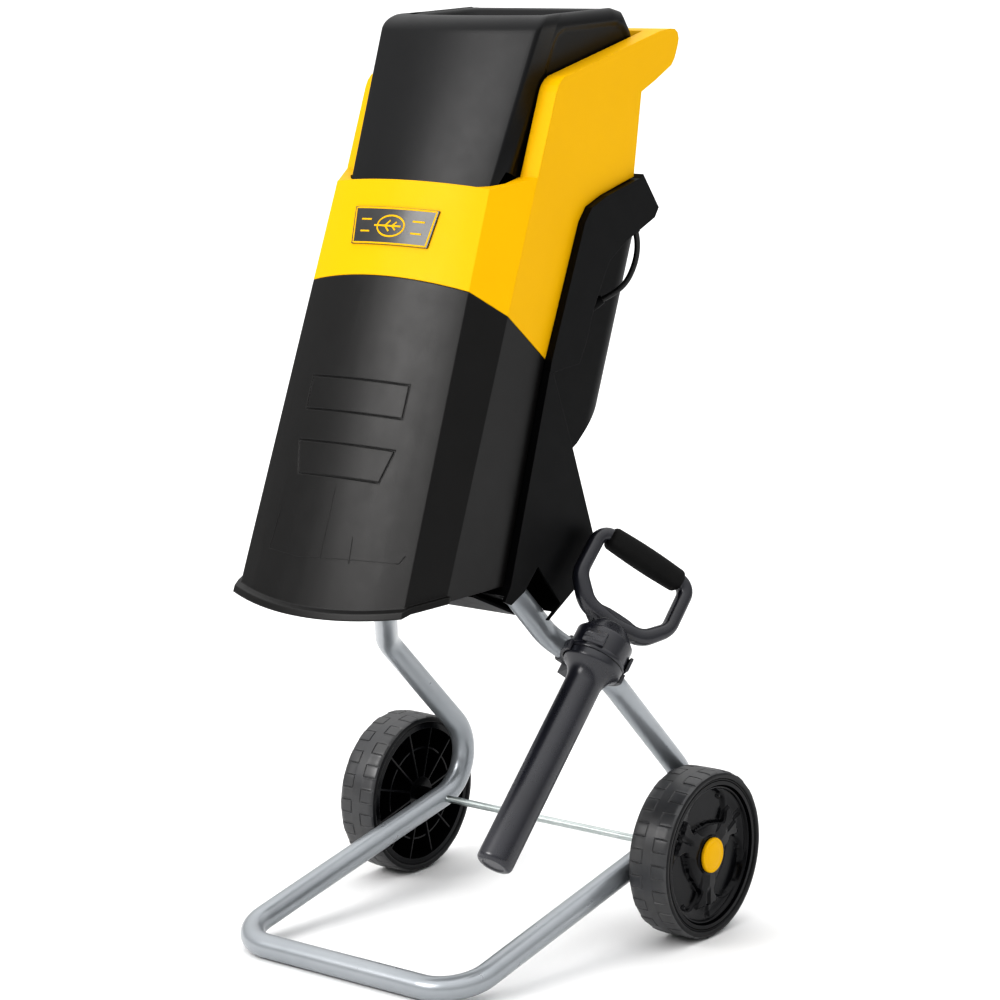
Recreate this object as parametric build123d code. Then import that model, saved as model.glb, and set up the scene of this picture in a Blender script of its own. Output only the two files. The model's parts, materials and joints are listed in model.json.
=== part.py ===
from build123d import *
from math import cos, pi, radians, sin, tan
import os

# ---------------------------------------------------------------- driving dimensions, mm
# Object frame: floor at Z 0, wheel axle above X axis, front towards -Y, up is +Z.
LEAN = 20                      # the body leans back by this many degrees
BODY_ORIGIN = (0, -76, 800)    # origin of the body frame, level with the knife disc's underside
BODY = Location(BODY_ORIGIN) * Rot(-LEAN, 0, 0)   # body frame: z along the lean, y to the rear

WALL = 3.0                     # moulded cover wall
SEAM = 0.4                     # gap between the lift-off hopper unit and the housing
FIT = 0.05                     # running fit, radial
TOUCH = 0.1                    # clearance between curved faces in one body

COVER_HALF = 122               # front and yellow cover, half width
HOUSING_HALF = 130             # rear housing, half width
LEDGE_IN = 117                 # inner edge of the housing's front ledge
MOTOR_COVER_HALF = 80
TUBE_R, TUBE_BORE_R = 12.5, 11.0
LEG_X, LEG_TOP_X = 148, 107
BEND_R = 48
AXLE_Z, AXLE_R = 88.5, 4.0
TYRE_R, RIM_R = 88.5, 80
WHEEL_IN, WHEEL_OUT = 170.5, 218.5
DISC_R, DISC_T = 77, 8
CHAMBER_R = 80
CUT_Y = -29                    # disc axis in the body frame
SHAFT_R = 8.5
MOTOR_Y = 98                   # motor axis in the body frame
MOTOR_R = 50

# ---------------------------------------------------------------- outlines in the body frame, (y, z)
SEAM_SLOPE = -0.333            # yellow/black seam falls to the rear
SEAM_FRONT = (-130, -168)
LEDGE_LINE = [(-7, -431), (-19.5, -206), (-14, -63), (-8, -46), (12, -28), (60, 5)]
WING = [(-92, 45), (-91, 52), (-88, 58.5), (-83, 64), (-76, 69), (-34, 97), (53, 157.5), (69, 165.6),
        (76, 167.8), (82, 166.4), (86, 161.5), (87, 154), (86.2, 140), (83.5, 132), (62.5, 109),
        (43, 90), (60.2, 6)]
HOUSING_REAR = [(64.5, 10.5), (102.5, -13), (99.5, -24.5), (60.5, -61), (39.5, -88), (30.5, -140),
                (30.5, -175), (26.5, -197), (-12, -216)]
LOWER_REAR = [(-12, -216.4), (39.5, -273), (109, -353), (97, -414), (66, -451), (-11, -447)]
MOTOR_COVER = [(62, -62), (100.5, -26), (112, -13), (148, -36), (160, -58), (160, -188), (146, -214),
               (118, -262), (74, -311.5), (40, -272), (14, -243), (14, -200), (24, -140), (34, -95)]
HOPPER_SIDE = [(-160, -85), (-160, 94.3), (4, 164.5), (21, 167), (49, 149), (36, 60), (36, 20),
               (-95, 20), (-95, -85)]


def seam_z(y):
    return SEAM_FRONT[1] + SEAM_SLOPE * (y - SEAM_FRONT[0])


# ---------------------------------------------------------------- small helpers
def prism(points, x0, x1, radius=0.0):
    """Side outline (y, z), with rounded corners, extruded from x0 to x1."""
    if radius:
        wire = FilletPolyline(*points, radius=radius, close=True)
    else:
        wire = Polyline(*points, close=True)
    return Pos(x0, 0, 0) * extrude(make_face(Plane.YZ * wire), x1 - x0, dir=(1, 0, 0))


def inset_prism(points, x0, x1, depth, radius=0.0):
    """The same outline, moved inwards by depth."""
    wire = FilletPolyline(*points, radius=radius, close=True) if radius else Polyline(*points, close=True)
    face = offset(make_face(wire), amount=-depth, kind=Kind.INTERSECTION)
    outline = Plane.YZ * face
    return Pos(x0, 0, 0) * extrude(outline, x1 - x0, dir=(1, 0, 0))


def both_sides(shape):
    return [shape, mirror(shape, about=Plane.YZ)]


def box_between(x0, x1, y0, y1, z0, z1):
    return Pos((x0 + x1) / 2, (y0 + y1) / 2, (z0 + z1) / 2) * Box(x1 - x0, y1 - y0, z1 - z0)


def post(x, y, z0, z1, radius):
    return Pos(x, y, (z0 + z1) / 2) * Cylinder(radius, z1 - z0)


def ring(x, y, z0, z1, outer, inner):
    return post(x, y, z0, z1, outer) - post(x, y, z0 - 1, z1 + 1, inner)


def cross_rod(x0, x1, y, z, radius):
    """A rod along X."""
    return Pos((x0 + x1) / 2, y, z) * Rot(0, 90, 0) * Cylinder(radius, x1 - x0)


def hex_screw(z_seat, x, y, radius, length, head=4.0):
    """Hexagon screw along z, head above z_seat, shank below it."""
    hexagon = extrude(Pos(x, y, z_seat) * RegularPolygon(radius * 1.75, 6), head)
    return hexagon + post(x, y, z_seat - length, z_seat, radius)


def save(name, *shapes):
    solids = []
    for shape in shapes:
        solids += shape.solids()
    part = solids[0] if len(solids) == 1 else Compound(children=solids)
    export_step(part, f"parts/{name}.step")


def save_body(name, *shapes):
    """Save a part that was drawn in the body frame."""
    save(name, *[BODY * shape for shape in shapes])


def save_cut(name, *shapes):
    """Save a part of the cutting unit, drawn about the disc's own axis."""
    save_body(name, *[Pos(0, CUT_Y, 0) * shape for shape in shapes])


# ---------------------------------------------------------------- cover envelope
def plan_section(z, corner_x, inset):
    """Front cover in plan: convex front, chamfer facets, straight sides open to the rear."""
    front_y, corner_y, side_y, rear_y = -147 + inset, -130 + inset, -92 + 0.45 * inset, 90
    side_x = COVER_HALF - inset
    corner_x = corner_x - 0.55 * inset
    front = ThreePointArc((corner_x, corner_y), (0, front_y), (-corner_x, corner_y))
    rest = Polyline((-corner_x, corner_y), (-side_x, side_y), (-side_x, rear_y), (side_x, rear_y),
                    (side_x, side_y), (corner_x, corner_y))
    return Pos(0, 0, z) * make_face([front, *rest.edges()])


def envelope(inset=0.0):
    """The closed shape of the front of the machine, from below the lip to above the yellow ledge."""
    return loft([plan_section(-530, 106.3, inset), plan_section(-40, 96.5, inset)])


# ---------------------------------------------------------------- covers
LIP_LINE = [(0, -428), (-92, -464), (-127, -483), (-150, -503)]


def front_cover():
    """Black chip chute cover, open at the bottom and at the rear."""
    top = [(-200, seam_z(-200) - SEAM), (-20.5, seam_z(-20.5) - SEAM), (-8.2, -431.4)]
    region = prism(top + LIP_LINE[1:] + [(-200, -546)], -150, 150)
    wall = (envelope() - envelope(WALL)) & region
    lip_band = prism(LIP_LINE[1:] + [(-200, -546), (-200, -539), (-150, -496), (-127, -476), (-92, -457)],
                     -150, 150)
    lip = (envelope(-5) - envelope(0.5)) & lip_band
    marks = (envelope(-1) - envelope(0.8)) & panel_marks()
    return wall + lip - marks


def panel_marks():
    """Outlines pressed into the front: a rectangle and a tapered panel, as grooves 1.6 wide."""
    groove = 1.6
    shapes = []
    for top_half, bottom_half, z0, z1 in ((62, 62, -266, -301), (62, 52, -331, -365.5)):
        outer = make_face(Polyline((-top_half, z0), (top_half, z0), (bottom_half, z1),
                                   (-bottom_half, z1), close=True))
        frame = outer - offset(outer, amount=-groove, kind=Kind.INTERSECTION)
        shapes.append(extrude(Plane.XZ * frame, 60, dir=(0, -1, 0)))
    marks = shapes[0] + shapes[1]
    return Pos(0, -110, 0) * marks


def wing_outline():
    bottom = [(-92, seam_z(-92)), (-19.5, seam_z(-19.5)), (-14, -63), (-8, -46), (12, -28)]
    return bottom + list(reversed(WING))


def upper_cover():
    """Yellow cover: front band, two wings beside the hopper, rear wall and handle bar."""
    band = prism([(-200, seam_z(-200)), (-60, seam_z(-60)), (-60, -42), (-92, -42), (-128, -65.5),
                  (-200, -65.5)], -150, 150)
    front = (envelope() - envelope(WALL)) & band
    ledge_slab = prism([(-200, -65.5), (-128, -65.5), (-92, -42), (-60, -42), (-60, -45), (-93, -45),
                        (-129, -68.5), (-200, -68.5)], -150, 150)
    ledge = (envelope() & ledge_slab) - hopper_outer(TOUCH)
    outline = wing_outline()
    wing = prism(outline, 100, COVER_HALF) - inset_prism(outline, 98, COVER_HALF - WALL, WALL)
    rear_wall = prism([(60.2, 6), (43.5, 90), (41.2, 90), (57, 4)], -101, 101)
    bar_outer = [(53, 157.5), (69, 165.6), (76, 167.8), (82, 166.4), (86, 161.5), (87, 154), (86.2, 140),
                 (84.5, 134.2), (80.5, 134.2), (80.5, 155),
                 (74.5, 162), (53, 151)]
    bar = prism(bar_outer, -101, 101)
    cover = front + ledge + rear_wall + bar
    for side in both_sides(wing):
        cover = cover + side
    tab = box_between(-14, 14, 56.5, 91, KNOB_Z, KNOB_Z + 3)
    return cover + tab - knob_hole(5.2)


def knob_hole(radius):
    return post(0, KNOB_Y, KNOB_Z - 40, KNOB_Z + 30, radius)


def hopper_outer(grow=0.0):
    """Outside of the feed hopper, convex front, leaning back more than the body."""
    def section(z, corner_x, corner_y, side_x, side_y, bulge):
        cx, cy, sx, sy = corner_x + grow, corner_y - grow, side_x + grow, side_y - grow
        front = ThreePointArc((cx, cy), (0, cy - bulge), (-cx, cy))
        rest = Polyline((-cx, cy), (-sx, sy), (-sx, 70), (sx, 70), (sx, sy), (cx, cy))
        return Pos(0, 0, z) * make_face([front, *rest.edges()])
    return loft([section(-90, 85.6, -120.9, 98.5, -116, 14), section(190, 108.4, -109, 97.5, -72, 12)])


def hopper():
    """Feed hopper with a rolled mouth and a funnel down to the throat."""
    side = prism(HOPPER_SIDE, -120, 120, 6)
    outer = hopper_outer() & side
    inner = hopper_outer(-WALL) & inset_prism(HOPPER_SIDE, -120, 120, WALL, 6)
    base_cut = box_between(-80, 80, -116, -99, -90, -80)

    def funnel(grow, z_low):
        low = Pos(0, -62, z_low) * RectangleRounded(76 + 2 * grow, 42 + 2 * grow, 8)
        high = Pos(0, -52.5, 142.5) * Rot(23.2, 0, 0) * RectangleRounded(164 + 2 * grow, 102 + 2 * grow, 14)
        return loft([low, high])
    body = outer - inner - post(0, CUT_Y, -86, 20.1, CHAMBER_R + 5) - base_cut
    body = body - box_between(33, 57, CUT_Y - 92, CUT_Y - 64, -91, 20.1)
    body = body + (funnel(WALL, 16) & hopper_outer()) - funnel(0, 15.9)
    panel = [(-106, -70), (-82, 100), (-68, 119), (0, 148), (14, 152), (36, 138), (26, 60), (24, -20), (-30, -70)]
    for side_cut in both_sides(prism(panel, 96.9, 120, 5)):
        body = body - side_cut
    return body


def rear_housing():
    """Black rear shell: side walls, ledge that carries the yellow unit, slanted control face."""
    front = [(-18.5, -216), (-19.5, -206), (-14, -63), (-8, -46), (12, -28), (60, 5)]
    outline = front + HOUSING_REAR
    front_gap = [(y + SEAM, z - SEAM) for y, z in front]
    outer = prism(front_gap + HOUSING_REAR, -HOUSING_HALF, HOUSING_HALF)
    inner = inset_prism(front_gap + HOUSING_REAR, -127, 127, WALL)
    mouth = prism([(-60, -216.2), (-60, 5), (59, 5), (62, 2), (56, -12), (5, -80), (5, -216.2)],
                  -LEDGE_IN, LEDGE_IN)
    window = prism([(0, -230), (0, -120), (30, -70), (52, -57), (70, -57), (70, -230)],
                   -MOTOR_COVER_HALF - TOUCH, MOTOR_COVER_HALF + TOUCH)
    shell = outer - inner - mouth - window
    rib = box_between(106, 127.5, 4, 32, -96, PLATE_Z)
    for side in both_sides(rib):
        shell = shell + side
    nut_boss = post(0, KNOB_Y, -12, KNOB_Z - 0.5, 9)
    shell = shell + nut_boss - control_cutouts() - knob_hole(4.4)
    for x in (-118, 118):
        shell = shell - post(x, 18, -100, -80, 3 + TOUCH)
    return shell


# ---------------------------------------------------------------- control face and knob
FACE_TILT = -31.7              # slope of the control face in the body frame, degrees
FACE_MID = (83.5, -1.25)       # middle of the control face (y, z)
KNOB_Y, KNOB_Z = 76, 11         # lock knob axis, top of the housing boss
SWITCH_X, RESET_X, INLET_X = 62, 24, -62


def on_face(x, shape, along=0.0):
    """Place a shape on the control face: its z is the outward normal, y runs down the face."""
    return Pos(x, FACE_MID[0], FACE_MID[1]) * Rot(FACE_TILT, 0, 0) * Pos(0, along, 0) * shape


def control_cutouts():
    cut = on_face(SWITCH_X, Box(31, 23, 20)) + on_face(RESET_X, Cylinder(5.05, 20))
    return cut + on_face(INLET_X, Box(47, 33, 20))


def rocker_frame():
    """Bezel of the main switch with its pocket."""
    frame = on_face(SWITCH_X, Pos(0, 0, 1.6) * Box(36, 28, 3)) + on_face(SWITCH_X, Pos(0, 0, -6.5) * Box(30.8, 22.8, 15))
    return frame - on_face(SWITCH_X, Pos(0, 0, -1) * Box(26, 19, 16))


def rocker():
    """Rocker of the main switch, tipped about an axis along X."""
    profile = make_face(Polyline((-8.2, 0.5), (-8.2, 5.8), (0, 2.6), (8.2, 3.2), (8.2, -1), (3, -4), (-3, -4),
                                 close=True))
    return on_face(SWITCH_X, Pos(-12.2, 0, 0) * extrude(Plane.YZ * profile, 24.4, dir=(1, 0, 0)))


def reset_button():
    return on_face(RESET_X, Pos(0, 0, 1) * Cylinder(5.0, 12))


def power_inlet():
    """Recessed appliance inlet for an extension lead."""
    flange = Pos(0, 0, 1.6) * Box(54, 36, 3)
    well = Pos(0, 0, -6.5) * Box(46.8, 32.8, 16)
    hollow = Pos(0, 0, 0) * extrude(RectangleRounded(38, 25, 6), 12, both=True)
    return on_face(INLET_X, flange + well - hollow)


def inlet_pins():
    pins = [Pos(x, y, -6.5) * Box(4, 1.6, 11) for x, y in ((-9, -3), (9, -3))]
    pins.append(Pos(0, 6, -6.5) * Box(1.6, 4, 11))
    return [on_face(INLET_X, pin) for pin in pins]


def lock_knob():
    """Star knob that clamps the yellow unit down."""
    base = KNOB_Z + 5
    knob = post(0, KNOB_Y, base, base + 20, 11)
    for k in range(5):
        angle = 2 * pi * (k + 0.25) / 5
        knob = knob + post(9.5 * cos(angle), KNOB_Y + 9.5 * sin(angle), base + 5, base + 20, 4.5)
    return knob - post(0, KNOB_Y, base - 1, base + 16, 4.0 + TOUCH)


def lock_stud():
    washer = ring(0, KNOB_Y, KNOB_Z + 3.2, KNOB_Z + 4.9, 8, 3)
    return post(0, KNOB_Y, -24, KNOB_Z + 20, 4.0) + washer


# ---------------------------------------------------------------- lower rear cover and motor cover
def stand_route():
    """Centre line of the stand's single bent tube, from the left top end round to the right one."""
    slope = 0.2243
    bend_y = 92.3
    right = [(LEG_TOP_X, -213, 400.4), (LEG_TOP_X, -139.3, 329.9), (LEG_X, -88, 280.8),
             (LEG_X, bend_y, TUBE_R + slope * (334 + bend_y)), (LEG_X, -334, TUBE_R)]
    left = [(-x, y, z) for x, y, z in right]
    return left + list(reversed(right))


def stand_solid(radius):
    corner = [50, 50, BEND_R, 46]
    path = FilletPolyline(*stand_route(), radius=corner + corner[::-1])
    start = Plane(origin=path @ 0, z_dir=path % 0)
    return sweep(start * Circle(radius), path=path)


def axle_hole():
    return Pos(0, 0, AXLE_Z) * Rot(0, 90, 0) * Cylinder(AXLE_R + TOUCH, 2 * WHEEL_OUT)


def leg_bolt_axis(radius, x0, x1):
    """Rod along X through both leg ends, in the body frame."""
    return [cross_rod(x0, x1, LEG_END[0], LEG_END[1], radius), cross_rod(-x1, -x0, LEG_END[0], LEG_END[1], radius)]


LEG_END = (12, -425.5)         # bolt through the top of each leg, in the body frame


def lower_rear_cover():
    """Black cover below the motor that closes the chute and takes the legs."""
    ledge = [(-7, -431), (-18.5, -216.4)]
    outline = ledge + LOWER_REAR
    outer = prism(outline, -HOUSING_HALF, HOUSING_HALF)
    inner = inset_prism(outline, -127, 127, WALL)
    mouth = prism([(-60, -214), (-12, -219.5), (-1, -428), (-20, -446), (-60, -446)], -LEDGE_IN, LEDGE_IN)
    notch = prism([(17, -431), (30, -403), (79, -431), (60, -458), (-4, -458), (-5, -453)], 126, 140)
    floor_slot = [(-14, -441), (80, -441), (80, -458), (-14, -458)]
    shell = outer - inner - mouth
    for cut in both_sides(notch) + both_sides(prism(floor_slot, LEG_TOP_X - 17, 126.5)):
        shell = shell - cut
    shell = shell - BODY.inverse() * stand_solid(TUBE_R + 0.4)
    for x in (-40, 0, 40):
        slot = box_between(x - 14, x + 14, 60, 130, -352, -346)
        shell = shell - slot - Pos(0, 0, -14) * slot - Pos(0, 0, -28) * slot
    return shell


def leg_brackets():
    """Saddles that hold the tops of the legs from the inside."""
    saddle = box_between(LEG_TOP_X - 16.8, LEG_TOP_X + 3, -0.5, 36, -440.9, -405)
    tube = BODY.inverse() * stand_solid(TUBE_R + TOUCH)
    hole = leg_bolt_axis(4 + TOUCH, LEG_TOP_X - 30, LEG_TOP_X + 20)
    return [side - tube - hole[0] - hole[1] for side in both_sides(saddle)]


def leg_bolts():
    shapes = []
    for rod in leg_bolt_axis(4, LEG_TOP_X - 24, LEG_TOP_X + 15):
        shapes.append(rod)
    heads = leg_bolt_axis(8, LEG_TOP_X + 15, LEG_TOP_X + 19.5)
    return [shapes[0] + heads[0], shapes[1] + heads[1]]


def motor_plan(inset, z):
    half, rear, corner = MOTOR_COVER_HALF - inset, 160 - inset, 35 - inset
    outline = FilletPolyline((-half, -60), (-half, rear), (half, rear), (half, -60), radius=corner)
    return Pos(0, 0, z) * make_face([*outline.edges(), Line((half, -60), (-half, -60))])


def motor_cover():
    """Rounded cover over the motor, with cooling slots at the bottom and the rear."""
    outer = extrude(motor_plan(0, -330), 330, dir=(0, 0, 1)) & prism(MOTOR_COVER, -100, 100)
    inner = extrude(motor_plan(WALL, -330), 330, dir=(0, 0, 1)) & inset_prism(MOTOR_COVER, -100, 100, WALL)
    front = prism([(-10, -266), (-10, -56), (66, -56), (70, -64), (44, -96), (34, -141), (24, -200), (24, -240),
                   (46, -266)], WALL - MOTOR_COVER_HALF, MOTOR_COVER_HALF - WALL)
    cover = outer - inner - front
    for k in range(6):
        slot = box_between(-40, 40, 140, 170, -190 + 9 * k, -186 + 9 * k)
        cover = cover - slot
    return cover


# ---------------------------------------------------------------- cutting unit
PLATE_Z = -90                  # underside of the motor plate
PULLEY_Z = (-80, -66)


def chamber():
    """Cast chamber: floor, round wall, outlet at the front, lug for the counter blade."""
    cup = ring(0, 0, -14, 12, CHAMBER_R + 3, CHAMBER_R) + ring(0, 0, -14, -10, CHAMBER_R + 1, 20 + TOUCH)
    outlet = box_between(-56, 32, -100, -46, -20, 20)
    lug = box_between(36, 54, -88, -58, -14, 12) - post(0, 0, -20, 20, CHAMBER_R)
    bolts = [post(46, -80, 0, 20, 2.5 + TOUCH)]
    bolts += [post(x, y, -87, -70, 3 + TOUCH) for x, y in STANDOFFS]
    bolts += [post(33 * cos(a), 33 * sin(a), -20, 0, 2.5 + TOUCH) for a in BEARING_BOLTS]
    body = cup - outlet + lug
    for x, y in STANDOFFS:
        body = body + post(x, y, PLATE_Z + 4, -12, 6)
    for bolt in bolts:
        body = body - bolt
    return body


STANDOFFS = [(-50, -30), (50, -30), (-50, 34), (50, 34)]
BEARING_BOLTS = [radians(45 + 90 * k) for k in range(4)]


def chamber_screws():
    shapes = [hex_screw(-10, 33 * cos(a), 33 * sin(a), 2.5, 8, 3) for a in BEARING_BOLTS]
    shapes.append(hex_screw(15.6, 46, -80, 2.5, 14, 3))
    return shapes


def counter_blade():
    return box_between(41, 51, -86, -24, 12, 15.5) - post(46, -80, 0, 20, 2.5 + TOUCH)


def bearing_housing():
    """Turned aluminium housing for the two disc bearings."""
    body = ring(0, 0, -62, -18, 27, 20) + ring(0, 0, -18, -14, 41, 20)
    lip = ring(0, 0, -46, -34, 21, 14)
    for a in BEARING_BOLTS:
        body = body - post(33 * cos(a), 33 * sin(a), -30, 0, 2.5 + TOUCH)
    return body + lip


def disc_bearings():
    return [ring(0, 0, z, z + 12, 20 - FIT, SHAFT_R + FIT) for z in (-60, -32)]


KNIFE_BOLTS = (35, 63)


def knife_disc():
    """Steel disc with a window behind each knife."""
    disc = ring(0, 0, 0, DISC_T, DISC_R, SHAFT_R + TOUCH)
    for k in range(2):
        slot = Rot(0, 0, 180 * k) * Pos(49, 15, 4) * Box(46, 10, 20)
        disc = disc - slot
        for x in KNIFE_BOLTS:
            disc = disc - Rot(0, 0, 180 * k) * post(x, 0, -5, 15, 3 + TOUCH)
    return disc


def knives():
    shapes = []
    for k in range(2):
        blade = prism([(-11, 8), (7, 8), (10, 8.4), (8, 11), (-11, 11)], 24, 74)
        for x in KNIFE_BOLTS:
            blade = blade - post(x, 0, 0, 20, 3 + TOUCH)
        shapes.append(Rot(0, 0, 180 * k) * blade)
    return shapes


def knife_screws():
    shapes = []
    for k in range(2):
        for x in KNIFE_BOLTS:
            nut = extrude(Pos(x, 0, -4) * RegularPolygon(5.5, 6), 4)
            shapes.append(Rot(0, 0, 180 * k) * (post(x, 0, -4, 10.8, 3) + nut))
    return shapes


def disc_shaft():
    return post(0, 0, -84, 17, SHAFT_R) - post(0, 0, -90, -70, 3)


def disc_nut():
    return extrude(Pos(0, 0, DISC_T) * RegularPolygon(14, 6), 7) - post(0, 0, 0, 30, SHAFT_R + TOUCH)


def grooved_pulley(x, y, radius, bore, grooves=4):
    """Multi-groove belt pulley between the two pulley levels."""
    z0, z1 = PULLEY_Z
    body = ring(x, y, z0, z1, radius + 1.5, bore)
    step = (z1 - z0 - 4) / grooves
    band = ring(x, y, z0 + 2, z1 - 2, radius + 5, radius - 1)
    for k in range(grooves):
        band = band - ring(x, y, z0 + 2 + step * (k + 0.25), z0 + 2 + step * (k + 0.75), radius - 0.2, 2)
    return body - band


BELT_DISC_R, BELT_MOTOR_R = 34, 10.5


def drive_belt():
    """Ribbed belt round both pulleys, clear of the flanks by a hair."""
    gap, thick = 0.35, 2.6
    z0, z1 = PULLEY_Z
    span = MOTOR_Y - CUT_Y

    def loop(extra):
        big, small = BELT_DISC_R + extra, BELT_MOTOR_R + extra
        lean = (big - small) / span
        rise = (1 - lean ** 2) ** 0.5
        points = [(rise * big, lean * big), (rise * small, span + lean * small)]
        flanks = [Line(points[0], points[1]), Line((-points[1][0], points[1][1]), (-points[0][0], points[0][1]))]
        arcs = [ThreePointArc(points[1], (0, span + small), (-points[1][0], points[1][1])),
                ThreePointArc((-points[0][0], points[0][1]), (0, -big), points[0])]
        return make_face([flanks[0], arcs[0], flanks[1], arcs[1]])
    section = loop(gap + thick) - loop(gap)
    return Pos(0, CUT_Y, z0 + 2.6) * extrude(section, z1 - z0 - 5.2, dir=(0, 0, 1))


def motor_plate():
    """Aluminium plate that carries the motor and stands on the housing ribs."""
    plate = box_between(-58, 58, CUT_Y - 38, MOTOR_Y + 46, PLATE_Z, PLATE_Z + 4)
    arm = box_between(57, 127, 4, 32, PLATE_Z, PLATE_Z + 4)
    for side in both_sides(arm):
        plate = plate + side
    plate = plate - post(0, MOTOR_Y, -100, -80, 14 + TOUCH)
    for x, y in STANDOFFS:
        plate = plate - post(x, y + CUT_Y, -100, -80, 3 + TOUCH)
    for x in (-118, 118):
        plate = plate - post(x, 18, -100, -80, 3 + TOUCH)
    for a in BEARING_BOLTS:
        plate = plate - post(38 * cos(a), MOTOR_Y + 38 * sin(a), -100, -80, 2.5 + TOUCH)
    return plate


def plate_screws():
    shapes = [hex_screw(-86, x, 18, 3, 9) for x in (-118, 118)]
    shapes += [hex_screw(-86, 38 * cos(a), MOTOR_Y + 38 * sin(a), 2.5, 10, 3) for a in BEARING_BOLTS]
    shapes += [Rot(180, 0, 0) * hex_screw(90, x, -y - CUT_Y, 3, 15) for x, y in STANDOFFS]
    return shapes


# ---------------------------------------------------------------- motor
def motor_drive_bell():
    bell = post(0, MOTOR_Y, -98, PLATE_Z, MOTOR_R) + ring(0, MOTOR_Y, -112, -98, MOTOR_R, 46)
    bell = bell + post(0, MOTOR_Y, PLATE_Z, -84, 14) - post(0, MOTOR_Y, -99, -80, 6)
    bell = bell - post(0, MOTOR_Y, -99, -90, 11)
    for a in BEARING_BOLTS:
        bell = bell - post(38 * cos(a), MOTOR_Y + 38 * sin(a), -97, -80, 2.5 + TOUCH)
    return bell


def motor_brush_bell():
    bell = post(0, MOTOR_Y, -197, -190, MOTOR_R) + Pos(0, MOTOR_Y, -206.5) * Cone(42, MOTOR_R, 19)
    bell = bell - post(0, MOTOR_Y, -208, -180, 38) - post(0, MOTOR_Y, -213, -200, 11)
    for k in range(8):
        window = Rot(0, 0, 22.5 + 45 * k) * Pos(33, 0, -212) * Box(14, 9, 20)
        bell = bell - Pos(0, MOTOR_Y, 0) * window
    return bell


def motor_frame():
    frame = ring(0, MOTOR_Y, -190, -112, MOTOR_R, 47.5)
    for k in range(10):
        window = Rot(0, 0, 36 * k) * Pos(MOTOR_R, 0, -182) * Box(12, 9, 8)
        frame = frame - Pos(0, MOTOR_Y, 0) * window
    return frame


def stator_core():
    core = ring(0, MOTOR_Y, -170, -126, 47.5 - TOUCH, 27)
    for x in (-35, 35):
        core = core - Pos(x, MOTOR_Y, -150) * Box(10, 40, 60)
    return core


def field_coils():
    shapes = []
    for x in (-35, 35):
        coil = Pos(x, MOTOR_Y, -148) * Box(9.6, 39.6, 60)
        shapes.append(coil & post(0, MOTOR_Y, -180, -116, 46))
    return shapes


def motor_bearings():
    return [ring(0, MOTOR_Y, z, z + 7, 11 - FIT, 4 + FIT) for z in (-97.5, -212.5)]


def brush_holders():
    shapes = []
    for k in (0, 1):
        tube = Pos(27, 0, -199) * Box(20, 12, 10) - Pos(21, 0, -199) * Box(28, 8.2, 6.2)
        shapes.append(Pos(0, MOTOR_Y, 0) * Rot(0, 0, 180 * k) * tube)
    return shapes


def brushes():
    return [Pos(0, MOTOR_Y, 0) * Rot(0, 0, 180 * k) * Pos(22.5, 0, -199) * Box(18, 8, 6) for k in (0, 1)]


def armature_shaft():
    return post(0, MOTOR_Y, -212.7, -66, 4)


def armature_core():
    core = ring(0, MOTOR_Y, -170, -126, 26.2, 4 + TOUCH)
    for k in range(12):
        slot = Rot(0, 0, 30 * k) * Pos(23, 0, -148) * Box(7, 3, 60)
        core = core - Pos(0, MOTOR_Y, 0) * slot
    return core


def armature_windings():
    return [ring(0, MOTOR_Y, z0, z0 + 9, 22, 8) for z0 in (-179.2, -125.8)]


def commutator():
    body = ring(0, MOTOR_Y, -205, -190, 13, 4 + TOUCH) + ring(0, MOTOR_Y, -190, -187, 15, 4 + TOUCH)
    for k in range(24):
        cut = Rot(0, 0, 15 * k) * Pos(13, 0, -198) * Box(1.6, 0.7, 20)
        body = body - Pos(0, MOTOR_Y, 0) * cut
    return body


def motor_fan():
    fan = ring(0, MOTOR_Y, -112, -110.5, 44, 4 + TOUCH) + ring(0, MOTOR_Y, -112, -101, 10, 4 + TOUCH)
    for k in range(14):
        blade = Rot(0, 0, 360 / 14 * k) * Pos(27, 0, -106) * Rot(0, 0, 20) * Box(30, 2, 9.5)
        fan = fan + Pos(0, MOTOR_Y, 0) * blade
    return fan


# ---------------------------------------------------------------- small body parts
def chute_wall():
    """Plate behind the chip chute, from the chamber down to the outlet."""
    line = [(-71, -20), (-71, -100), (-24, -190), (-16, -428)]
    back = [(y + 2.5, z) for y, z in reversed(line)]
    return prism(line + back, -97, 97)


def interlock_key():
    return box_between(-110, -104, 51, 57, -40, 4)


def safety_switch():
    body = box_between(-126.9, -98, 44, 60, -58, -34)
    return (body - box_between(-111, -103, 50, 58, -46, -30)) & prism([(40, -30), (62, -30), (62, -50), (56, -57), (40, -57)], -130, -90)


def badge():
    """Plain shield plate on the yellow front."""
    outline = Polyline((-55.5, -92), (55.5, -92), (50, -134), (-50, -134), close=True)
    slab = extrude(Plane.XZ * offset(make_face(outline), amount=-2, kind=Kind.ARC), 60, dir=(0, -1, 0))
    return (envelope(-1.6) - envelope(0)) & (Pos(0, -110, 0) * slab)


# ---------------------------------------------------------------- captive motor lead
LEAD_D = 6
UNDERSIDE = (0, 0.6832, -0.7302)   # outward normal of the housing's slanted underside
GLAND_A = (114, 87.83, -35.43)
GLAND_B = (MOTOR_COVER_HALF, 97, -119)
GLAND_B_AXIS = (0.772, 0.284, 0.569)
GLAND_LENGTH = 9


def along(point, direction, distance):
    return tuple(p + distance * d for p, d in zip(point, direction))


def lead_route():
    """Points of the lead in the body frame, from gland face to gland face."""
    start = along(GLAND_A, UNDERSIDE, GLAND_LENGTH)
    end = along(GLAND_B, GLAND_B_AXIS, GLAND_LENGTH)
    return [start, along(start, UNDERSIDE, 11), (111, 109.5, -69), (106, 109, -92), along(end, GLAND_B_AXIS, 11), end]


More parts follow.
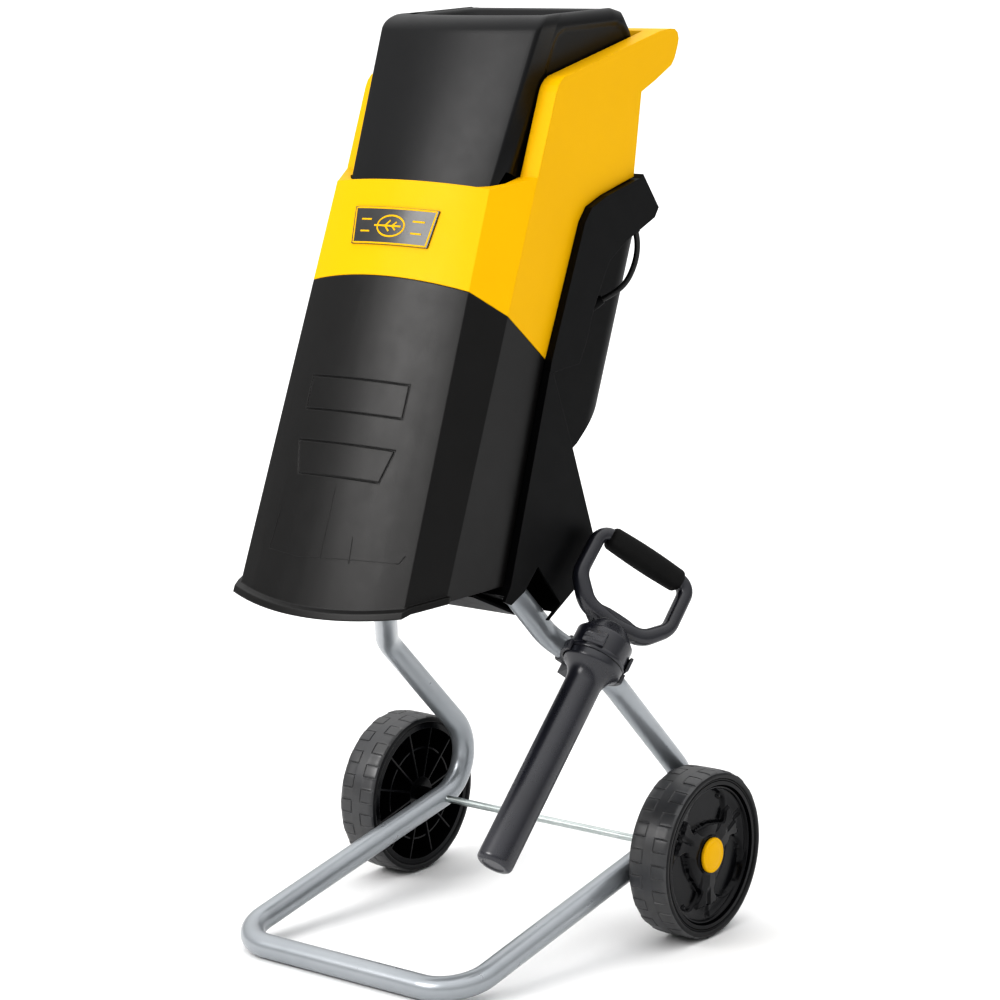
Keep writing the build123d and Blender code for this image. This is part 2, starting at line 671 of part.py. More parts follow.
def corner_radii(points):
    radii = []
    vectors = [Vector(*b) - Vector(*a) for a, b in zip(points, points[1:])]
    for before, after in zip(vectors, vectors[1:]):
        half_turn = radians(before.get_angle(after)) / 2
        radii.append(0.45 * min(before.length, after.length) / tan(half_turn))
    return radii


def motor_lead():
    points = lead_route()
    radii = corner_radii(points)
    path = FilletPolyline(*points, radius=radii)
    tube = sweep(Plane(origin=path @ 0, z_dir=path % 0) * Circle(LEAD_D / 2), path=path)
    print("motor lead radii", [round(r, 1) for r in radii], "length", round(path.length, 1),
          "volume ratio", round(tube.volume / (pi * (LEAD_D / 2) ** 2 * path.length), 4))
    return tube


def cone_between(point, direction, length, r0, r1):
    plane = Plane(origin=point, z_dir=direction)
    return plane * Pos(0, 0, length / 2) * Cone(r0, r1, length)


def lead_glands():
    outlet = cone_between(GLAND_A, UNDERSIDE, GLAND_LENGTH, 7, 4.5)
    inlet = cone_between(along(GLAND_B, GLAND_B_AXIS, -8), GLAND_B_AXIS, GLAND_LENGTH + 8, 9, 4.5)
    return [outlet, inlet & box_between(MOTOR_COVER_HALF, 120, 60, 140, -160, -80)]


# ---------------------------------------------------------------- wheels and axle
def wheel_x(x):
    """Place a shape drawn with z outwards from the wheel's inner face, on the right wheel."""
    return Pos(WHEEL_IN + x, 0, AXLE_Z) * Rot(0, 90, 0)


def tyre():
    width = WHEEL_OUT - WHEEL_IN
    profile = FilletPolyline((RIM_R, 1.5), (TYRE_R - 5, 0), (TYRE_R, 5), (TYRE_R, width - 5), (TYRE_R - 5, width),
                             (RIM_R, width - 1.5), radius=2)
    face = make_face([*profile.edges(), Line((RIM_R, width - 1.5), (RIM_R, 1.5))])
    return wheel_x(0) * revolve(Plane.XZ * face, Axis.Z)


def hub():
    """Wheel body: rim, dished outer face with three blades, ribbed inner side, hub tube."""
    width = WHEEL_OUT - WHEEL_IN
    rim_out = RIM_R - TOUCH
    rim = ring(0, 0, 2, width - 2, rim_out, 73.5)
    web = ring(0, 0, width - 18, width - 14, 74, 10)
    tube = ring(0, 0, 4, width - 6, 19, AXLE_R + FIT)
    inner_ring = ring(0, 0, 6, width - 15, 52.5, 50)
    body = rim + web + tube + inner_ring
    for k in range(12):
        body = body + Rot(0, 0, 30 * k + 15) * Pos(46, 0, 18.5) * Box(56, 2.4, 29)
    for k in range(3):
        blade = Pos(46, 0, width - 16) * Box(56, 20, 8)
        body = body + Rot(0, 0, 120 * k) * blade
    return wheel_x(0) * (body - post(0, 0, -1, 60, AXLE_R + FIT))


def hub_cap():
    width = WHEEL_OUT - WHEEL_IN
    cap = Pos(0, 0, width - 2.5) * Cylinder(18.5, 5)
    cap = fillet(cap.edges().group_by(Axis.Z)[-1], 2)
    return wheel_x(0) * (cap - post(0, 0, 0, width - 1.5, 9))


def axle_rod():
    return Pos(0, 0, AXLE_Z) * Rot(0, 90, 0) * Cylinder(AXLE_R, 2 * (WHEEL_OUT - 3))


def axle_spacers():
    sleeve = cross_rod(LEG_X + TUBE_R + 0.2, WHEEL_IN + 3.6, 0, AXLE_Z, 8) - axle_hole()
    return both_sides(sleeve)


def push_nuts():
    nut = cross_rod(WHEEL_OUT - 5.4, WHEEL_OUT - 3.6, 0, AXLE_Z, 8.5) - axle_hole()
    return both_sides(nut)


# ---------------------------------------------------------------- plunger
PLUNGER_LEAN = 43.5
PLUNGER_AXIS = (0, sin(radians(PLUNGER_LEAN)), cos(radians(PLUNGER_LEAN)))
PLUNGER_FOOT = (176, -316.6, 144.8)
PLUNGER_R = 18.5
CUP_R = 30.5
HANDLE_TURN = 55               # D-handle turned about the plunger's axis
Z_RING, Z_CONE, Z_COLLAR, Z_TOP = 229.5, 212, 228, 263


def plunger_frame(turn=0.0):
    return Plane(origin=PLUNGER_FOOT, x_dir=(1, 0, 0), z_dir=PLUNGER_AXIS).location * Rot(0, 0, turn)


def plunger_shaft():
    profile = Polyline((0, 0), (PLUNGER_R - 4, 0), (PLUNGER_R, 4), (PLUNGER_R, Z_CONE), (CUP_R, Z_COLLAR),
                       (CUP_R, Z_COLLAR + 8), (0, Z_COLLAR + 8), close=True)
    solid = revolve(Plane.XZ * make_face(profile), Axis.Z)
    return plunger_frame() * (solid - post(0, 0, 6, Z_COLLAR + 20, PLUNGER_R - 3))


def plunger_handle():
    """D-handle with its collar, cone and snap lugs."""
    profile = Polyline((16, Z_COLLAR + 8.1), (CUP_R, Z_COLLAR + 8.1), (CUP_R, Z_TOP), (17, Z_TOP + 16),
                       (0, Z_TOP + 18), (0, Z_TOP + 10), (16, Z_TOP + 8), close=True)
    collar = revolve(Plane.XZ * make_face(profile), Axis.Z)
    outer = FilletPolyline((-61, 368), (61, 368), (62, 306), (46, 278), (16, 269), (16, 257), (-16, 257),
                           (-16, 269), (-46, 278), (-62, 306), radius=[16, 16, 16, 14, 3, 2, 2, 3, 14, 16], close=True)
    inner = FilletPolyline((-46, 353), (46, 353), (46, 309), (18, 288), (-18, 288), (-46, 309),
                           radius=[1.8, 1.8, 9, 9, 9, 9], close=True)
    frame = extrude(Plane.XZ * (make_face(outer) - make_face(inner)), 9, both=True)
    lugs = [Rot(0, 0, angle) * Pos(CUP_R - 0.5, 0, Z_COLLAR + 20) * Box(6, 24, 15) for angle in (-125, -5, 115)]
    body = collar + (frame - post(0, 0, 200, Z_TOP + 8, CUP_R - 3))
    for lug in lugs:
        body = body + (lug - post(0, 0, 200, 300, CUP_R - 3))
    hang_hole = Pos(31, 0, 284.5) * Rot(90, 0, 0) * Cylinder(HANG_R, 40)
    return plunger_frame(HANDLE_TURN) * (body - hang_hole)


HANG_R = 2.25


def plunger_grip():
    """Soft oval sleeve on the handle's bar."""
    outer = Pos(0, 0, 358.5) * Rot(0, 90, 0) * extrude(Ellipse(15, 13), 44, both=True)
    bar = Pos(0, 0, 360.5) * Box(100, 18 + 2 * TOUCH, 15 + 2 * TOUCH)
    return plunger_frame(HANDLE_TURN) * (outer - bar)


def plunger_holder():
    """Clip on the right leg with an open ring behind the plunger's cup, under its lugs."""
    knee_low, knee_high = Vector(LEG_X, -88, 280.8), Vector(LEG_TOP_X, -139.3, 329.9)
    middle = (knee_low + knee_high) * 0.5
    to_frame = plunger_frame().inverse()
    centre = (to_frame * Pos(middle)).position
    tube_dir = ((to_frame * Pos(knee_high)).position - (to_frame * Pos(knee_low)).position).normalized()
    foot = centre - tube_dir * centre.dot(tube_dir)
    foot_flat = Vector(foot.X, foot.Y, 0)
    out = foot_flat.normalized()
    turn = Vector(1, 0, 0).get_signed_angle(out, Vector(0, 0, 1))
    sleeve_r, reach = 15.0, foot_flat.length
    z_tube = foot.Z
    sleeve = Plane(origin=foot, z_dir=tube_dir).location * Cylinder(sleeve_r, 26)
    bore = Plane(origin=foot, z_dir=tube_dir).location * Cylinder(TUBE_R + TOUCH, 60)
    ring_part = ring(0, 0, Z_RING, Z_RING + 10.5, CUP_R + 3.9, CUP_R + 0.4)
    gap = Rot(0, 0, turn + 180) * Pos(26, 0, Z_RING + 5) * Box(40, 80, 24)
    arm = Rot(0, 0, turn) * (Pos((32 + reach) / 2, 0, Z_RING + 5) * Box(reach - 32, 16, 10))
    web = Rot(0, 0, turn) * (Pos(reach - 5, 0, (Z_RING + z_tube) / 2) * Box(10, 16, z_tube - Z_RING))
    hollow = post(0, 0, Z_RING - 5, Z_RING + 30, CUP_R + 0.4)
    return plunger_frame() * ((sleeve + web + arm + ring_part) - bore - hollow - gap)


# ---------------------------------------------------------------- write everything
def main():
    os.makedirs("parts", exist_ok=True)
    save("stand_tube", stand_solid(TUBE_R) - stand_solid(TUBE_BORE_R) - axle_hole()
         - BODY * leg_bolt_axis(4 + TOUCH, LEG_TOP_X - 30, LEG_TOP_X + 20)[0]
         - BODY * leg_bolt_axis(4 + TOUCH, LEG_TOP_X - 30, LEG_TOP_X + 20)[1])
    save("axle_rod", axle_rod())
    save("axle_spacers", *axle_spacers())
    save("axle_push_nuts", *push_nuts())
    for side, shapes in (("right", lambda s: s), ("left", lambda s: mirror(s, about=Plane.YZ))):
        save(f"tyre_{side}", shapes(tyre()))
        save(f"hub_{side}", shapes(hub()))
        save(f"hub_cap_{side}", shapes(hub_cap()))
    save_body("front_cover", front_cover())
    save_body("upper_cover", upper_cover())
    save_body("hopper", hopper())
    save_body("rear_housing", rear_housing())
    save_body("lower_rear_cover", lower_rear_cover())
    save_body("motor_cover", motor_cover())
    save_body("badge_plate", badge())
    save_body("leg_brackets", *leg_brackets())
    save_body("leg_bolts", *leg_bolts())
    save_body("chute_wall", chute_wall())
    save_cut("chopping_chamber", chamber())
    save_body("drive_screws", *[Pos(0, CUT_Y, 0) * screw for screw in chamber_screws()], *plate_screws())
    save_cut("counter_blade", counter_blade())
    save_cut("bearing_housing", bearing_housing())
    save_body("ball_bearings", *[Pos(0, CUT_Y, 0) * race for race in disc_bearings()], *motor_bearings())
    save_cut("knife_disc", knife_disc())
    save_cut("knives", *knives())
    save_cut("disc_fasteners", *knife_screws(), disc_nut())
    save_cut("disc_shaft", disc_shaft())
    save_cut("disc_pulley", grooved_pulley(0, 0, BELT_DISC_R, SHAFT_R + TOUCH))
    save_body("motor_pulley", grooved_pulley(0, MOTOR_Y, BELT_MOTOR_R, 4 + TOUCH))
    save_body("drive_belt", drive_belt())
    save_body("motor_plate", motor_plate())
    save_body("motor_drive_bell", motor_drive_bell())
    save_body("motor_brush_bell", motor_brush_bell())
    save_body("motor_frame", motor_frame())
    save_body("stator_core", stator_core())
    save_body("field_coils", *field_coils())
    save_body("brush_holders", *brush_holders())
    save_body("carbon_brushes", *brushes())
    save_body("armature_shaft", armature_shaft())
    save_body("armature_core", armature_core())
    save_body("armature_copper", *armature_windings(), commutator())
    save_body("motor_fan", motor_fan())
    save_body("safety_switch", safety_switch())
    save_body("interlock_key", interlock_key())
    save_body("lock_knob", lock_knob())
    save_body("lock_stud", lock_stud())
    save_body("rocker_frame", rocker_frame())
    save_body("rocker_switch", rocker())
    save_body("reset_button", reset_button())
    save_body("power_inlet", power_inlet())
    save_body("inlet_pins", *inlet_pins())
    save_body("motor_lead", motor_lead())
    save_body("lead_glands", *lead_glands())
    save("plunger_shaft", plunger_shaft())
    save("plunger_handle", plunger_handle())
    save("plunger_grip", plunger_grip())
    save("plunger_holder", plunger_holder())


main()
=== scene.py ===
"""Garden chipper on a wheeled tube stand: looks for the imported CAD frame."""
import json
from math import atan2, cos, degrees, pi, radians, sin, sqrt, tan

import bmesh
import bpy
from mathutils import Matrix, Vector


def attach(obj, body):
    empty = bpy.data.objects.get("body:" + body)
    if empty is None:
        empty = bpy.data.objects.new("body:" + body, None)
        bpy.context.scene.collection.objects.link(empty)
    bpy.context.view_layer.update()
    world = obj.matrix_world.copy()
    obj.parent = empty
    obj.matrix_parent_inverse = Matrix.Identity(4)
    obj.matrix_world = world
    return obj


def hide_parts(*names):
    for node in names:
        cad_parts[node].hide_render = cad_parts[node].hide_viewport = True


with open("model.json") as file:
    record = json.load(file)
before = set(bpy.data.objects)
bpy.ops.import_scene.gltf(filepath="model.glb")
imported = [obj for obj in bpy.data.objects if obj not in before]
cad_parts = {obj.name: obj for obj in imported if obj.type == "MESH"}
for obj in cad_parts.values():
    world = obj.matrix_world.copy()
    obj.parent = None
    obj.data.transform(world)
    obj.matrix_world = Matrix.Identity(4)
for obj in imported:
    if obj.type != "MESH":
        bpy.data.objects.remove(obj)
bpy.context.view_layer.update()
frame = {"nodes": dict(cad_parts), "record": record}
nodes = frame["nodes"]
scene = bpy.context.scene

# ------------------------------------------------------------------ frames shared with the CAD, metres
LEAN = radians(20)                  # the machine's body leans back on its stand
BODY = Matrix.Translation((0, -0.076, 0.800)) @ Matrix.Rotation(-LEAN, 4, "X")
MM = Matrix.Scale(0.001, 4)
BODY_MM = BODY @ MM
PLUNGER_LEAN = radians(43.5)
PLUNGER = Matrix.Translation((0.176, -0.3166, 0.1448)) @ Matrix.Rotation(-PLUNGER_LEAN, 4, "X")
HANDLE = PLUNGER @ Matrix.Rotation(radians(55), 4, "Z") @ MM
PLUNGER_MM = PLUNGER @ MM
WHEEL_RIGHT = Matrix.Translation((0.1705, 0, 0.0885)) @ Matrix.Rotation(pi / 2, 4, "Y") @ MM
WHEEL_LEFT = Matrix.Scale(-1, 4, (1, 0, 0)) @ WHEEL_RIGHT

# ------------------------------------------------------------------ camera, floor and lights
CAMERA_PLACE = (1.8967, -2.5089, 0.9853)
CAMERA_AZIMUTH, CAMERA_ELEVATION = radians(37.991), radians(9.867)
LENS_MM = 108.58
FLOOR_HALF, FLOOR_Z = 400, -0.0003
SKY_LOW, SKY_HIGH = 0.16, 1.45      # sky strength near the horizon and overhead
HORIZON = 0.035                     # below this height the sky is white, so the floor has no dark far edge
KEY_POWER, KEY_SIZE, KEY_COLOUR = 78, (2.4, 1.6), (1, 0.985, 0.975)


def make_camera():
    data = bpy.data.cameras.new("camera")
    data.lens = LENS_MM
    data.sensor_width = 36
    data.clip_end = 2000
    cam = bpy.data.objects.new("camera", data)
    cam.location = CAMERA_PLACE
    cam.rotation_euler = (pi / 2 - CAMERA_ELEVATION, 0, CAMERA_AZIMUTH)
    scene.collection.objects.link(cam)
    scene.camera = cam


def make_stage():
    mesh = bpy.data.meshes.new("floor")
    corners = [(x * FLOOR_HALF, y * FLOOR_HALF, FLOOR_Z) for x, y in ((-1, -1), (1, -1), (1, 1), (-1, 1))]
    mesh.from_pydata(corners, [], [(0, 1, 2, 3)])
    floor = bpy.data.objects.new("floor", mesh)
    scene.collection.objects.link(floor)
    floor.data.materials.append(floor_material())


def area_light(name, place, target, size, power, colour):
    data = bpy.data.lights.new(name, "AREA")
    data.shape = "RECTANGLE"
    data.size, data.size_y = size
    data.energy = power
    data.color = colour
    lamp = bpy.data.objects.new(name, data)
    lamp.location = place
    lamp.rotation_euler = (Vector(target) - Vector(place)).to_track_quat("-Z", "Y").to_euler()
    scene.collection.objects.link(lamp)


def make_lights():
    """Sky brightest overhead, so the floor is pale while upright dark faces stay dark, and one soft key."""
    world = bpy.data.worlds.new("studio")
    world.use_nodes = True
    tree = world.node_tree
    coord = add(tree, "ShaderNodeTexCoord")
    split = add(tree, "ShaderNodeSeparateXYZ")
    level = add(tree, "ShaderNodeMapRange", i_To_Min=SKY_LOW, i_To_Max=SKY_HIGH)
    tree.links.new(coord.outputs["Generated"], split.inputs[0])
    tree.links.new(split.outputs["Z"], level.inputs["Value"])
    horizon = add(tree, "ShaderNodeMapRange", i_From_Min=HORIZON, i_From_Max=HORIZON + 0.01, i_To_Min=1.0,
                  i_To_Max=0.0)
    tree.links.new(split.outputs["Z"], horizon.inputs["Value"])
    both = add(tree, "ShaderNodeMath", operation="MAXIMUM")
    tree.links.new(level.outputs["Result"], both.inputs[0])
    tree.links.new(horizon.outputs["Result"], both.inputs[1])
    back = tree.nodes["Background"]
    back.inputs["Color"].default_value = (1.0, 1.0, 1.0, 1)
    tree.links.new(both.outputs["Value"], back.inputs["Strength"])
    scene.world = world
    area_light("key", (-1.5, -3.9, 2.95), (0, -0.1, 0.6), KEY_SIZE, KEY_POWER, KEY_COLOUR)
    scene.view_settings.view_transform = "Standard"
    scene.view_settings.look = "High Contrast"


# ------------------------------------------------------------------ materials
def new_material(name):
    mat = bpy.data.materials.new(name)
    mat.use_nodes = True
    tree = mat.node_tree
    return mat, tree, tree.nodes["Principled BSDF"]


def add(tree, kind, **values):
    """A node with its properties (plain names) and input defaults (names with a leading i_)."""
    node = tree.nodes.new(kind)
    for key, value in values.items():
        if key.startswith("i_"):
            node.inputs[key[2:].replace("_", " ")].default_value = value
        else:
            setattr(node, key, value)
    return node


def noise(tree, scale, detail, rough=0.5):
    coord = add(tree, "ShaderNodeTexCoord")
    tex = add(tree, "ShaderNodeTexNoise", i_Scale=scale, i_Detail=detail, i_Roughness=rough)
    tree.links.new(coord.outputs["Object"], tex.inputs["Vector"])
    return tex.outputs["Fac"]


def ramp(tree, source, low, high, at=(0.0, 1.0)):
    node = add(tree, "ShaderNodeValToRGB")
    node.color_ramp.elements[0].position, node.color_ramp.elements[1].position = at
    node.color_ramp.elements[0].color = (*low, 1)
    node.color_ramp.elements[1].color = (*high, 1)
    tree.links.new(source, node.inputs["Fac"])
    return node.outputs["Color"]


def edge_mask(tree, radius):
    """1 on outer edges and 0 on flats, from the angle between the rounded and the true normal."""
    bevel = add(tree, "ShaderNodeBevel", samples=4, i_Radius=radius)
    geo = add(tree, "ShaderNodeNewGeometry")
    dot = add(tree, "ShaderNodeVectorMath", operation="DOT_PRODUCT")
    tree.links.new(bevel.outputs["Normal"], dot.inputs[0])
    tree.links.new(geo.outputs["Normal"], dot.inputs[1])
    span = add(tree, "ShaderNodeMapRange", i_From_Min=1.0, i_From_Max=0.80)
    tree.links.new(dot.outputs["Value"], span.inputs["Value"])
    return bevel.outputs["Normal"], span.outputs["Result"]


def bump(tree, height, strength, distance, normal):
    node = add(tree, "ShaderNodeBump", i_Strength=strength, i_Distance=distance)
    tree.links.new(height, node.inputs["Height"])
    if normal is not None:
        tree.links.new(normal, node.inputs["Normal"])
    return node.outputs["Normal"]


def finish_material(name, dark, light, rough, grain, depth, edge, metallic=0.0, coat=0.0, radius=0.0012,
                    patch=9.0, specular=0.5, detail=3.0, spread=0.07):
    """Base with slow colour variation, fine grain in bump and roughness, and softened edges painted lighter, partly
    wear and partly a painted highlight.
    """
    mat, tree, shader = new_material(name)
    slow = noise(tree, patch, 4.0, 0.6)
    colour = ramp(tree, slow, dark, light, (0.3, 0.72))
    normal, mask = edge_mask(tree, radius) if radius else (None, None)
    if radius and edge is not None:
        # Edges take the lighter edge colour in a noise-broken band: partly wear, partly a painted highlight along the
        # edges.
        mix = add(tree, "ShaderNodeMix", data_type="RGBA")
        wear_and_highlight = add(tree, "ShaderNodeMath", operation="MULTIPLY")
        tree.links.new(mask, wear_and_highlight.inputs[0])
        tree.links.new(ramp(tree, noise(tree, 160, 3.0), (0.15, 0.15, 0.15), (0.8, 0.8, 0.8), (0.35, 0.65)),
                       wear_and_highlight.inputs[1])
        tree.links.new(wear_and_highlight.outputs["Value"], mix.inputs["Factor"])
        tree.links.new(colour, mix.inputs["A"])
        mix.inputs["B"].default_value = (*edge, 1)
        colour = mix.outputs["Result"]
    tree.links.new(colour, shader.inputs["Base Color"])
    spread = rough * spread
    tree.links.new(ramp(tree, noise(tree, 38, 5.0, 0.6), (rough - spread,) * 3, (rough + spread,) * 3, (0.3, 0.7)),
                   shader.inputs["Roughness"])
    tree.links.new(bump(tree, noise(tree, grain, detail, 0.6), 1.0, depth, normal), shader.inputs["Normal"])
    shader.inputs["Metallic"].default_value = metallic
    shader.inputs["Coat Weight"].default_value = coat
    shader.inputs["Coat Roughness"].default_value = 0.16
    shader.inputs["Specular IOR Level"].default_value = specular
    return mat


def floor_material():
    mat, tree, shader = new_material("floor_paint")
    tree.links.new(ramp(tree, noise(tree, 0.7, 2.0), (0.86, 0.86, 0.86), (0.89, 0.89, 0.89)),
                   shader.inputs["Base Color"])
    shader.inputs["Roughness"].default_value = 0.9
    return mat


def grey(value, tint=(1.0, 1.0, 1.0)):
    return tuple(value * t for t in tint)


WARM = (1.05, 0.99, 0.97)
COOL = (0.94, 0.98, 1.12)
BLUE = (0.88, 0.92, 1.30)
# The edge colour of each finish (its seventh value) is painted lighter along edges: partly wear, partly a painted
# highlight.
M = {
    "tube_paint": finish_material("tube_paint", (0.33, 0.35, 0.37), (0.38, 0.40, 0.42), 0.30, 1400, 0.00001,
                                  (0.55, 0.56, 0.57), metallic=0.5, coat=0.35, patch=5, radius=0, spread=0.1),
    "zinc": finish_material("zinc", (0.46, 0.50, 0.49), (0.60, 0.64, 0.63), 0.30, 900, 0.000005,
                            (0.85, 0.85, 0.84), metallic=1.0, patch=60),
    "tyre": finish_material("tyre", grey(0.008, COOL), grey(0.011, COOL), 0.42, 1500, 0.00004, grey(0.03),
                            radius=0.0006, patch=30, specular=0.4),
    # Tread base painted lighter than the sidewall's: painted light where the tread faces the key, partly dusty
    # rubber.
    "tyre_tread": finish_material("tyre_tread", grey(0.030, COOL), grey(0.044), 0.38, 1500, 0.00004, grey(0.07),
                                  radius=0.0006, patch=30, specular=0.9),
    "black_moulded": finish_material("black_moulded", grey(0.0030, COOL), grey(0.0042, COOL), 0.42, 1300, 0.00009,
                                     grey(0.007), radius=0.0010, patch=12, specular=0.16),
    "hub_black": finish_material("hub_black", grey(0.0035, BLUE), grey(0.0055, BLUE), 0.22, 1800, 0.00001,
                                 grey(0.012), radius=0.0009, patch=25, specular=0.27),
    "grey_front": finish_material("grey_front", grey(0.0050, WARM), grey(0.0062, WARM), 0.36, 2300, 0.000035,
                                  grey(0.013, WARM), radius=0.0016, patch=7, specular=0.40),
    "hopper_black": finish_material("hopper_black", grey(0.0042, COOL), grey(0.0055, COOL), 0.35, 1700, 0.00005,
                                    grey(0.011), radius=0.0012, patch=9, specular=0.36),
    "plunger_black": finish_material("plunger_black", grey(0.014, BLUE), grey(0.020, BLUE), 0.28, 2100, 0.00003,
                                     grey(0.035), radius=0.0012, patch=20, specular=0.85),
    "yellow_moulded": finish_material("yellow_moulded", (0.74, 0.43, 0.0), (0.77, 0.45, 0.0), 0.42, 1700, 0.00003,
                                      (0.88, 0.56, 0.01), radius=0.0018, patch=6, specular=0.15),
    "badge": finish_material("badge", grey(0.030), grey(0.040), 0.3, 900, 0.00002, grey(0.07), radius=0.0005,
                             patch=40, coat=0.3),
    "steel": finish_material("steel", (0.42, 0.42, 0.43), (0.55, 0.55, 0.56), 0.32, 300, 0.00004,
                             (0.7, 0.7, 0.7), metallic=1.0, patch=40),
    "tool_steel": finish_material("tool_steel", (0.5, 0.5, 0.52), (0.63, 0.63, 0.65), 0.2, 500, 0.00002,
                                  (0.8, 0.8, 0.8), metallic=1.0, patch=80),
    "cast": finish_material("cast", (0.40, 0.41, 0.42), (0.52, 0.53, 0.54), 0.5, 700, 0.0002,
                            (0.66, 0.66, 0.66), metallic=0.85, patch=25),
    "belt": finish_material("belt", grey(0.012), grey(0.02), 0.7, 1100, 0.0001, grey(0.03), radius=0.0004),
    "laminations": finish_material("laminations", (0.05, 0.045, 0.04), (0.09, 0.08, 0.07), 0.45, 1500, 0.0001,
                                   (0.2, 0.18, 0.16), metallic=0.4, patch=60),
    "copper": finish_material("copper", (0.42, 0.16, 0.06), (0.55, 0.23, 0.09), 0.3, 900, 0.0002,
                              (0.7, 0.35, 0.15), metallic=0.8, patch=50),
    "carbon": finish_material("carbon", grey(0.012), grey(0.02), 0.6, 1500, 0.00005, grey(0.04)),
    "phenolic": finish_material("phenolic", (0.06, 0.02, 0.008), (0.09, 0.03, 0.012), 0.4, 900, 0.00004,
                                (0.14, 0.06, 0.03)),
    "red_moulded": finish_material("red_moulded", (0.5, 0.01, 0.008), (0.6, 0.015, 0.01), 0.3, 900, 0.00002,
                                   (0.8, 0.08, 0.06), radius=0.0006, coat=0.3),
    "green_moulded": finish_material("green_moulded", (0.01, 0.22, 0.05), (0.015, 0.3, 0.07), 0.3, 900, 0.00002,
                                     (0.06, 0.45, 0.15), radius=0.0006, coat=0.3),
    "soft_grip": finish_material("soft_grip", grey(0.006), grey(0.009), 0.70, 900, 0.00030, grey(0.015), radius=0.001,
                                 patch=40, detail=1.0, specular=0.3),
    "cable": finish_material("cable", grey(0.010), grey(0.014), 0.45, 1400, 0.00002, grey(0.02), radius=0.0004),
}
SLOT_OF = {part["node"]: part["material_slot"] for part in frame["record"]["subparts"]}
BETTER = {"hub_right": "hub_black", "hub_left": "hub_black", "plunger_shaft": "plunger_black",
          "plunger_handle": "plunger_black", "plunger_holder": "plunger_black"}


def paint(obj, key):
    obj.data.materials.clear()
    obj.data.materials.append(M[key])


def dress_nodes():
    for name, obj in nodes.items():
        paint(obj, BETTER.get(name, SLOT_OF[name]))


def round_edges(name, width):
    """Real rounded edges on a CAD node, by modifiers that leave its mesh alone."""
    obj = nodes[name]
    weld = obj.modifiers.new("weld", "WELD")
    weld.merge_threshold = 0.00002
    flat = obj.modifiers.new("flat", "DECIMATE")
    flat.decimate_type = "DISSOLVE"
    flat.angle_limit = radians(1.2)
    edge = obj.modifiers.new("edge", "BEVEL")
    edge.width = width
    edge.segments = 3
    edge.limit_method = "ANGLE"
    edge.angle_limit = radians(32)
    edge.use_clamp_overlap = True
    edge.harden_normals = False
    obj.modifiers.new("normals", "WEIGHTED_NORMAL").keep_sharp = True


# ------------------------------------------------------------------ mesh helpers
def smooth_step(x, a, b):
    t = min(1.0, max(0.0, (x - a) / (b - a)))
    return t * t * (3 - 2 * t)


def piece(name, points, faces, place, key, body, sharp=38, slot=None):
    """A mesh object from points in the frame that place maps to the object's frame, riding on a body."""
    mesh = bpy.data.meshes.new(name)
    bm = bmesh.new()
    corners = [bm.verts.new(place @ Vector(p)) for p in points]
    for face in faces:
        loop = [corners[k] for k in face]
        if len(set(loop)) > 2:
            try:
                bm.faces.new(loop)
            except ValueError:
                pass
    bmesh.ops.remove_doubles(bm, verts=bm.verts, dist=0.000004)
    bmesh.ops.recalc_face_normals(bm, faces=bm.faces)
    for face in bm.faces:
        face.smooth = True
    for edge in bm.edges:
        if len(edge.link_faces) == 2 and edge.calc_face_angle(0) > radians(sharp):
            edge.smooth = False
    bm.to_mesh(mesh)
    bm.free()
    obj = bpy.data.objects.new(name, mesh)
    scene.collection.objects.link(obj)
    obj.data.materials.append(M[key])
    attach(obj, body)
    return obj


def grid_faces(rows, columns, close_rows=False, close_columns=False):
    """Quads between neighbouring points of a grid that is listed row by row."""
    faces = []
    for i in range(rows if close_rows else rows - 1):
        for j in range(columns if close_columns else columns - 1):
            a, b = i, (i + 1) % rows
            c, d = j, (j + 1) % columns
            faces.append((a * columns + c, a * columns + d, b * columns + d, b * columns + c))
    return faces


def lathe(profile, segments):
    """Points and faces of a turned shape from (radius, height) pairs."""
    points = []
    for k in range(segments):
        a = 2 * pi * k / segments
        points += [(r * cos(a), r * sin(a), z) for r, z in profile]
    return points, grid_faces(segments, len(profile), close_rows=True)


def join(*shapes):
    points, faces = [], []
    for shape_points, shape_faces in shapes:
        base = len(points)
        points += shape_points
        faces += [tuple(base + k for k in face) for face in shape_faces]
    return points, faces


def moved(shape, matrix):
    return [tuple(matrix @ Vector(p)) for p in shape[0]], shape[1]


def rounded_box(x, y, z, r):
    """Block with rounded upright edges and chamfered top, centred in x and y, standing on z 0."""
    steps = 3
    rings = []
    for inset, height in ((0, 0), (0, z - r), (r * 0.3, z - r * 0.3), (r, z)):
        turn_r = r - inset * 0.9
        ring = []
        for cx, cy, a0 in ((1, 1, 0), (-1, 1, 90), (-1, -1, 180), (1, -1, 270)):
            for k in range(steps + 1):
                a = radians(a0 + 90 * k / steps)
                ring.append((cx * (x / 2 - r) + turn_r * cos(a), cy * (y / 2 - r) + turn_r * sin(a), height))
        rings.append(ring)
    count = len(rings[0])
    points = [p for ring in rings for p in ring]
    faces = grid_faces(len(rings), count, close_columns=True)
    faces.append(tuple(range((len(rings) - 1) * count, len(rings) * count)))
    return points, faces


